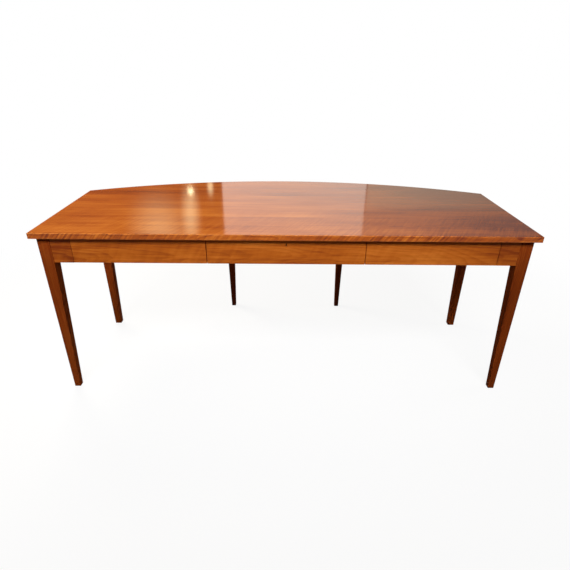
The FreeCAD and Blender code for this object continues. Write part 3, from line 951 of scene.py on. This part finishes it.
@dataclass
class Lock:
    """The lock of the centre drawer and its strike plate."""

    brass: tuple[str, ...] = ("lock_case", "lock_cap", "strike_plate")
    screws: tuple[str, ...] = ("lock_screws", "strike_screws")

    def build(self) -> None:
        """Dress the lock's pieces."""
        metal = LOCK_BRASS.dress()
        for node in self.brass:
            dress_node(node, metal)
        dress_node("lock_bolt", BOLT_BRASS.dress())
        dress_node("lock_pin", LOCK_STEEL.dress())
        metal = SCREW_STEEL.dress()
        for node in self.screws:
            dress_node(node, metal)


WARM: Colour = (1.0, 0.91, 0.77)
GOLD: Colour = (1.0, 0.9, 0.52)
SOFT_GOLD: Colour = (1.0, 0.92, 0.72)
CREAM: Colour = (1.0, 0.94, 0.84)
COOL: Colour = (0.92, 1.0, 0.94)


class Fade(Enum):
    """Where a soft lamp's light fades."""

    NONE = "nowhere"
    RIM = "from its middle to its rim"
    SIDE = "from its left to its right, as the desk's sitter sees it"


@dataclass(frozen=True)
class SoftLamp:
    """A soft area lamp.

    Attributes:
        name: what it does.
        place: where it hangs.
        aim: the point that it faces.
        width, height: its size.
        power: its watts.
        colour: the colour of its light.
        spread: how wide its light fans out, in degrees.
        mirrored: whether glossy faces show it.
        fade: where its light fades.
        side_level: how much light is left at the dim side.
    """

    name: str
    place: Triple
    aim: Triple
    width: float
    height: float
    power: float
    colour: Colour = WHITE
    spread: float = 180.0
    mirrored: bool = True
    fade: Fade = Fade.NONE
    side_level: float = 0.55

    def soften(self, light: bpy.types.AreaLight) -> None:
        """Let the light fade across the lamp."""
        light.use_nodes = True
        tree = Tree(light.node_tree)
        across = tree.value("ShaderNodeNewGeometry", {}, {}, "Parametric")  # from 0 to 1 each way
        if self.fade is Fade.RIM:
            middle = (0.5, 0.5, 0.0)
            rim = 0.5
            inputs = {0: across, 1: middle}
            out = tree.value("ShaderNodeVectorMath", {"operation": "DISTANCE"}, inputs, "Value")
            glow = tree.ramp(out.span(0.0, rim), [(0.0, WHITE), (1.0, BLACK)])
        else:
            out = 1.0 - tree.split(across)[Axis.X.value].span(0.0, 1.0)
            glow = tree.ramp(out, [(0.0, WHITE), (1.0, grey(self.side_level))])
        shader = tree.value("ShaderNodeEmission", {}, {"Color": glow, "Strength": 1.0})
        tree.node("ShaderNodeOutputLight", {}, {"Surface": shader})

    def hang(self) -> None:
        """Add the lamp to the scene."""
        light = bpy.data.lights.new(self.name, "AREA")
        if self.fade is not Fade.NONE:
            self.soften(light)
        light.shape = "RECTANGLE"
        light.spread = math.radians(self.spread)
        light.size = self.width
        light.size_y = self.height
        light.energy = self.power
        light.color = self.colour
        lamp = bpy.data.objects.new(self.name, light)
        lamp.location = self.place
        direction = Vector(self.aim) - Vector(self.place)
        lamp.rotation_euler = direction.to_track_quat("-Z", "Y").to_euler()
        lamp.visible_camera = False
        lamp.visible_glossy = self.mirrored
        bpy.context.scene.collection.objects.link(lamp)
        log.info("hung %s", self.name)


@dataclass
class Studio:
    """The pale floor, the soft lamps, the world and the camera.

    Attributes:
        camera_place: where the camera stands.
        yaw, pitch, roll: how it is turned, in radians.
        lens, sensor: its lens and the width of its frame, in millimetres.
        shift_x, shift_y: how far the frame is shifted.
        floor_radius, floor_sides: the floor's reach, and how many sides round it.
        floor_glow: how white the floor near the desk is by itself.
        shade_start, shade_reach: where the floor starts to take less shade, and where it takes none.
        floor_plain, floor_pale: the floor's colours for light and for the eye.
        even_light: the strength of the world's light on the desk.
        card_back, card_low, card_high, card_width: place and size of the dark card behind the desk.
        card_mottle, card_dim, card_bright: the cells per metre of its glow, and the glow's limits.
        lamps: the soft lamps.
    """

    camera_place: Triple = (-0.0081, -2.1752, 1.3618)
    yaw: float = 0.0085
    pitch: float = 0.5037
    roll: float = 0.0106
    lens: float = 28.945
    sensor: float = 36.0
    shift_x: float = -0.0039
    shift_y: float = 0.0489
    floor_radius: float = 30.0
    floor_sides: int = 64
    floor_glow: float = 0.88
    shade_start: float = 1.2
    shade_reach: float = 2.6
    floor_plain: Colour = (0.14, 0.13, 0.12)
    floor_pale: Colour = (0.9, 0.9, 0.9)
    even_light: float = 0.06
    card_back: float = 2.7
    card_low: float = 0.9
    card_high: float = 5.0
    card_width: float = 16.0
    card_mottle: Triple = (3.0, 3.0, 3.0)
    card_dim: float = 0.045
    card_bright: float = 0.06
    lamps: tuple[SoftLamp, ...] = (
        SoftLamp(
            "key_lamp", (-0.05, -2.5, 2.82), (-0.05, -0.4, 0.65), 3.2, 1.0, 25.0, spread=60.0, mirrored=False,
        ),
        SoftLamp("low_fill", (-2.4, -4.4, 0.8), (-0.8, 0.2, 0.4), 0.6, 0.6, 8.0, mirrored=False),
        SoftLamp(
            "leg_fill", (-1.42, -1.2, 0.4), (-0.99, 0.2, 0.35), 0.1, 0.1, 0.2, spread=22.0, mirrored=False,
        ),
        SoftLamp("rear_lamp", (-1.5, 1.0, 2.2), (-0.9, 0.0, 0.76), 0.9, 0.9, 47.5, WARM, mirrored=False),
        SoftLamp("right_lamp", (3.2, 0.3, 1.2), (0.9, 0.0, 0.45), 1.0, 0.4, 14.0, mirrored=False),
        SoftLamp("back_lamp", (0.0, 3.4, 0.5), (0.0, 0.3, 0.45), 1.6, 0.5, 24.0, mirrored=False),
        SoftLamp(
            "left_spot", (-0.962, 2.5, 1.336), (-0.962, 0.0, 1.0), 0.1, 0.06, 0.22, GOLD, fade=Fade.RIM,
        ),
        SoftLamp(
            "left_haze", (-0.985, 2.5, 1.6), (-0.985, 0.0, 1.0), 0.26, 0.9, 1.2, GOLD, fade=Fade.RIM,
        ),
        SoftLamp(
            "right_spot", (-0.76, 2.5, 1.29), (-0.76, 0.0, 1.0), 0.09, 0.24, 0.17, GOLD, fade=Fade.RIM,
        ),
        SoftLamp("side_haze", (-1.33, 2.5, 1.8), (-1.0, 0.0, 1.0), 0.8, 1.1, 3.2, GOLD, fade=Fade.RIM),
        SoftLamp("pale_panel", (0.09, 2.5, 1.55), (0.09, 0.0, 1.55), 1.46, 1.3, 7.2, CREAM),
        SoftLamp(
            "grey_panel", (1.77, 2.5, 1.85), (1.77, 0.0, 1.85), 1.88, 0.7, 1.75, COOL, fade=Fade.SIDE,
        ),
        SoftLamp(
            "grey_strip", (1.77, 2.5, 1.3), (1.77, 0.0, 1.3), 1.88, 0.4, 1.75, SOFT_GOLD, fade=Fade.SIDE,
        ),
    )

    def set_camera(self) -> None:
        """Stand the camera where the photograph was taken from."""
        data = bpy.data.cameras.new("camera")
        data.sensor_width = self.sensor
        data.lens = self.lens
        data.shift_x = self.shift_x
        data.shift_y = self.shift_y
        flat = Vector((math.sin(self.yaw), math.cos(self.yaw), 0.0))
        ahead = flat * math.cos(self.pitch) - Vector((0.0, 0.0, math.sin(self.pitch)))
        level = Vector((math.cos(self.yaw), -math.sin(self.yaw), 0.0))
        above = level.cross(ahead)
        right = level * math.cos(self.roll) + above * math.sin(self.roll)
        up = above * math.cos(self.roll) - level * math.sin(self.roll)
        turn = Matrix((right, up, -ahead)).transposed()
        camera = bpy.data.objects.new("camera", data)
        camera.matrix_world = Matrix.Translation(self.camera_place) @ turn.to_4x4()
        bpy.context.scene.collection.objects.link(camera)
        bpy.context.scene.camera = camera

    @staticmethod
    def seen(tree: Tree) -> Socket:
        """Return 1 for rays from the camera, and for those that gloss or glass sends on."""
        path = tree.node("ShaderNodeLightPath", {}, {})
        rays = ("Is Camera Ray", "Is Glossy Ray", "Is Transmission Ray")
        camera, glossy, through = (Socket(tree, path.outputs[name]) for name in rays)
        return tree.math("MAXIMUM", camera, tree.math("MAXIMUM", glossy, through))

    def lay_floor(self) -> None:
        """Lay the pale floor, white far out and with the desk's soft shade near it."""
        mesh = bpy.data.meshes.new("floor")
        shape = bmesh.new()
        sides = self.floor_sides
        bmesh.ops.create_circle(shape, cap_ends=True, segments=sides, radius=self.floor_radius)
        shape.to_mesh(mesh)
        shape.free()
        floor = bpy.data.objects.new("floor", mesh)
        bpy.context.scene.collection.objects.link(floor)
        material, tree = new_tree("pale_floor")
        place = tree.place()
        far = tree.value("ShaderNodeVectorMath", {"operation": "LENGTH"}, {0: place}, "Value")
        far = far.span(self.shade_start, self.shade_reach)
        plain = tree.value("ShaderNodeBsdfDiffuse", {}, {"Color": solid(self.floor_plain)})
        pale = tree.value("ShaderNodeBsdfDiffuse", {}, {"Color": solid(self.floor_pale)})
        white = tree.value("ShaderNodeEmission", {}, {"Color": solid(WHITE), "Strength": 1.0})
        glow = self.floor_glow + (1.0 - self.floor_glow) * far
        near = tree.value("ShaderNodeMixShader", {}, {0: glow, 1: pale, 2: white})
        tree.surface(tree.value("ShaderNodeMixShader", {}, {0: self.seen(tree), 1: plain, 2: near}))
        mesh.materials.append(material)

    def hang_card(self) -> None:
        """Hang a dark card with a dim glow behind the desk, for the polished top to show."""
        half = self.card_width / 2
        low, high = self.card_low, self.card_high
        outline = ((-half, low), (half, low), (half, high), (-half, high))
        corners = [(x, self.card_back, z) for x, z in outline]
        mesh = bpy.data.meshes.new("dark_card")
        mesh.from_pydata(corners, [], [range(len(corners))])
        card = bpy.data.objects.new("dark_card", mesh)
        bpy.context.scene.collection.objects.link(card)
        material, tree = new_tree("dark_card")
        mottle = tree.noise(tree.stretch(tree.place(), self.card_mottle, (0.0, 0.0, 0.0)))
        glow = tree.ramp(mottle, [(0.3, grey(self.card_dim)), (0.7, grey(self.card_bright))])
        tree.surface(tree.value("ShaderNodeEmission", {}, {"Color": glow, "Strength": 1.0}))
        mesh.materials.append(material)
        card.visible_camera = False
        card.visible_diffuse = False
        card.visible_shadow = False

    def light_world(self) -> None:
        """Make the world white, with a weak even light on the desk."""
        world = bpy.data.worlds.new("studio")
        bpy.context.scene.world = world
        world.use_nodes = True
        tree = Tree(world.node_tree)
        white = solid(WHITE)
        seen = tree.value("ShaderNodeBackground", {}, {"Color": white, "Strength": 1.0})
        even = tree.value("ShaderNodeBackground", {}, {"Color": white, "Strength": self.even_light})
        mixed = tree.value("ShaderNodeMixShader", {}, {0: self.seen(tree), 1: even, 2: seen})
        tree.node("ShaderNodeOutputWorld", {}, {"Surface": mixed})

    def build(self) -> None:
        """Set up the whole studio."""
        self.set_camera()
        self.lay_floor()
        self.hang_card()
        self.light_world()
        for lamp in self.lamps:
            lamp.hang()
        bpy.context.scene.view_settings.view_transform = "Standard"


def main() -> None:
    """Build the studio and dress every piece of the desk."""
    logging.basicConfig(level=logging.INFO, format="%(name)s: %(message)s")
    Studio().build()
    TopPanel().build()
    LegSet().build()
    Frame().build()
    for name in ("left", "centre", "right"):
        Drawer(name).build()
    Lock().build()


if __name__ == "__main__":
    main()
